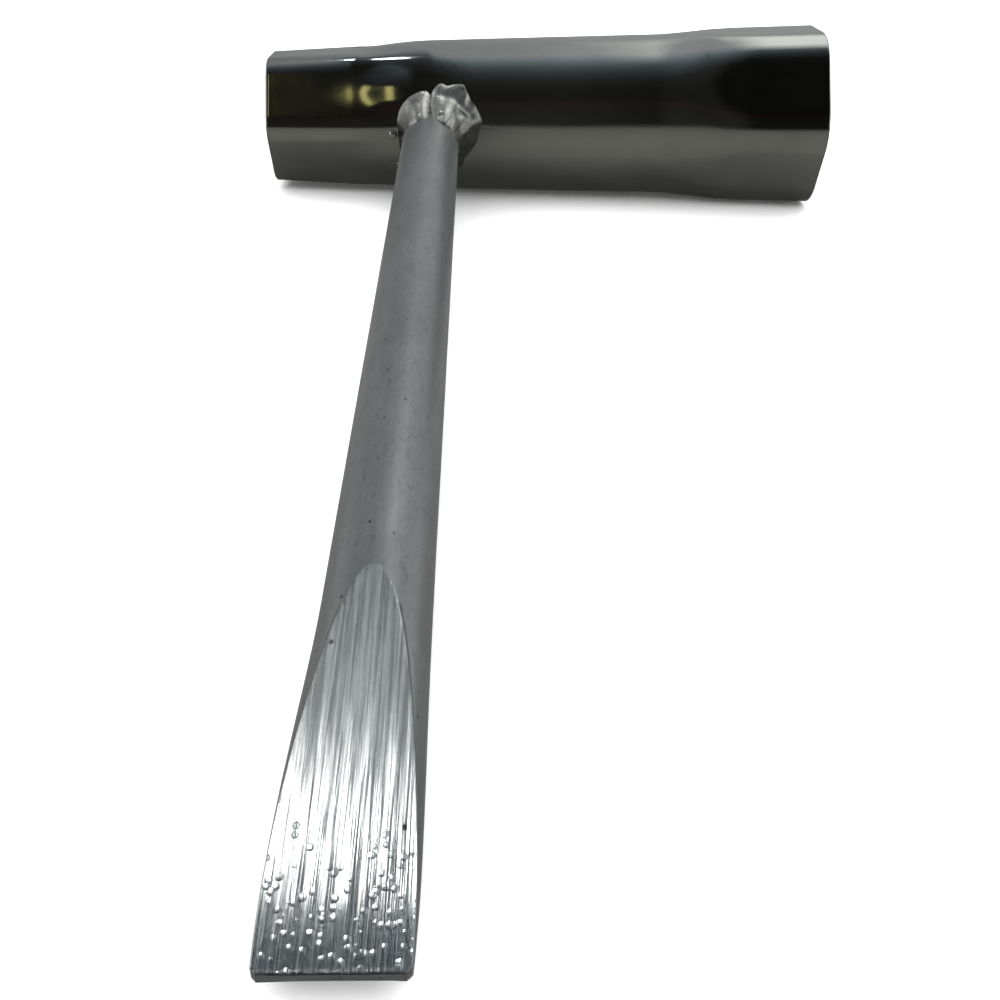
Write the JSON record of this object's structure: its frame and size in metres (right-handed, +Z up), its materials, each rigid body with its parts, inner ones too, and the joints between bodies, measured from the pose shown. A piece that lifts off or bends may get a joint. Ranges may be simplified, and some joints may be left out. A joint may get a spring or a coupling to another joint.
{
  "type": "t-wrench",
  "caption": "T-shaped hand wrench: a plated steel tube with a 13 mm and a 19 mm hexagon socket formed in its ends and a screwdriver shank welded to its side.",
  "frame": {"origin": "middle of the part's outline on the table that it lies on", "axes": "+Z up from the table, -Y from the tube to the blade tip, +X from the small socket to the large one"},
  "size_m": [0.0796, 0.155, 0.0242],
  "materials": {
    "tube_steel": "bright plated steel, glossy",
    "bar_steel": "satin zinc plate, ground along the blade",
    "weld_steel": "plated weld bead, lumpy"
  },
  "bodies": {
    "root": {"socket_tube": "tube_steel", "screwdriver_shank": "bar_steel", "weld_left": "weld_steel", "weld_right": "weld_steel"}
  },
  "joints": []
}
